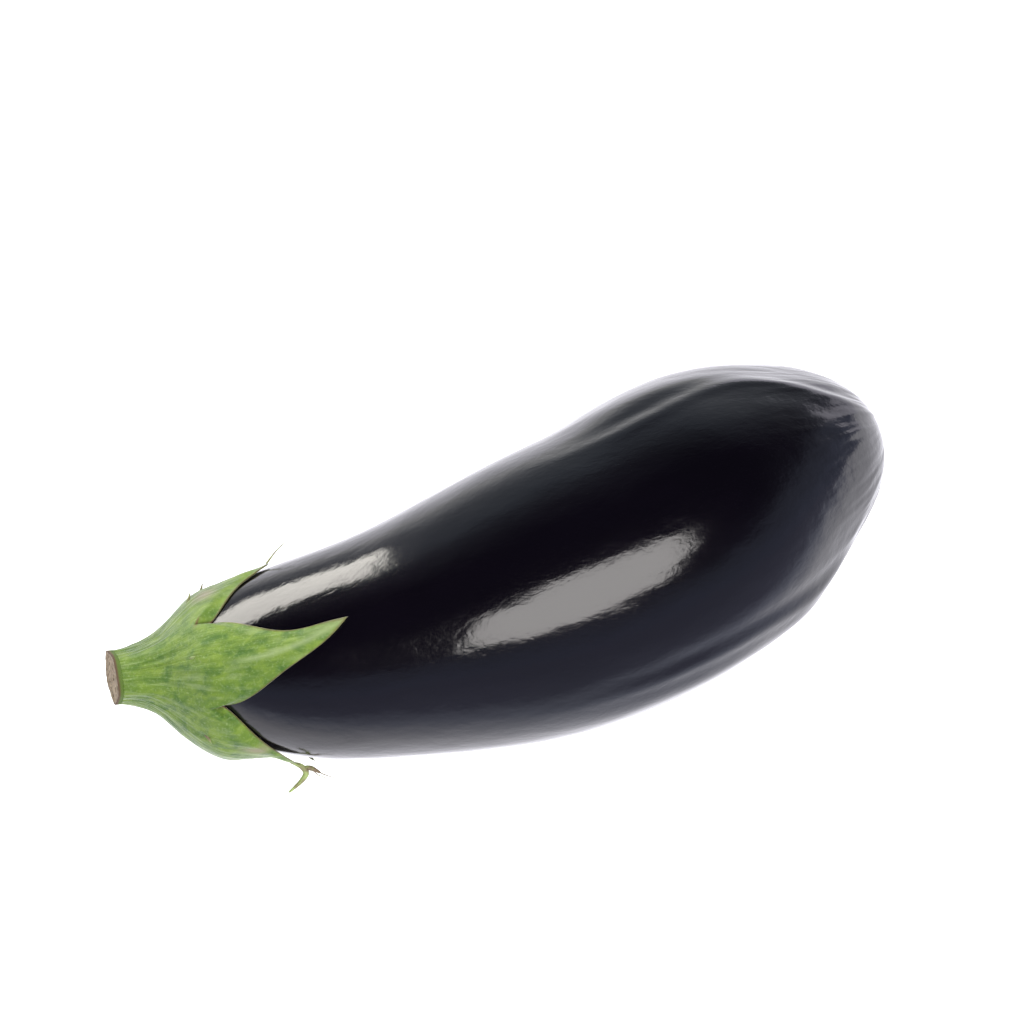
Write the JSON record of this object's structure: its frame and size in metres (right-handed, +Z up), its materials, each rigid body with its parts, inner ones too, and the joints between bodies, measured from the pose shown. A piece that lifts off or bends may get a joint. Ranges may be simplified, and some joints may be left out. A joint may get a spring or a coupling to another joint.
{
  "type": "eggplant",
  "caption": "Whole purple-black eggplant with a green calyx and a short cut stem, lying on its side, gently bent, with a small flat spot under its belly.",
  "frame": {"origin": "middle of the flat spot under the belly, on the surface that the fruit lies on", "axes": "+X along the fruit towards its blossom end, +Z up, +Y towards the inside of its bend"},
  "size_m": [0.2364, 0.0927, 0.0833],
  "materials": {
    "purple_skin": "glossy, near-black purple",
    "calyx_green": "matt, ribbed, finely hairy",
    "dried_stem": "dry, corky"
  },
  "bodies": {
    "root": {"fruit": "purple_skin", "calyx_and_stem": "calyx_green", "stem_cut_end": "dried_stem"}
  },
  "joints": []
}
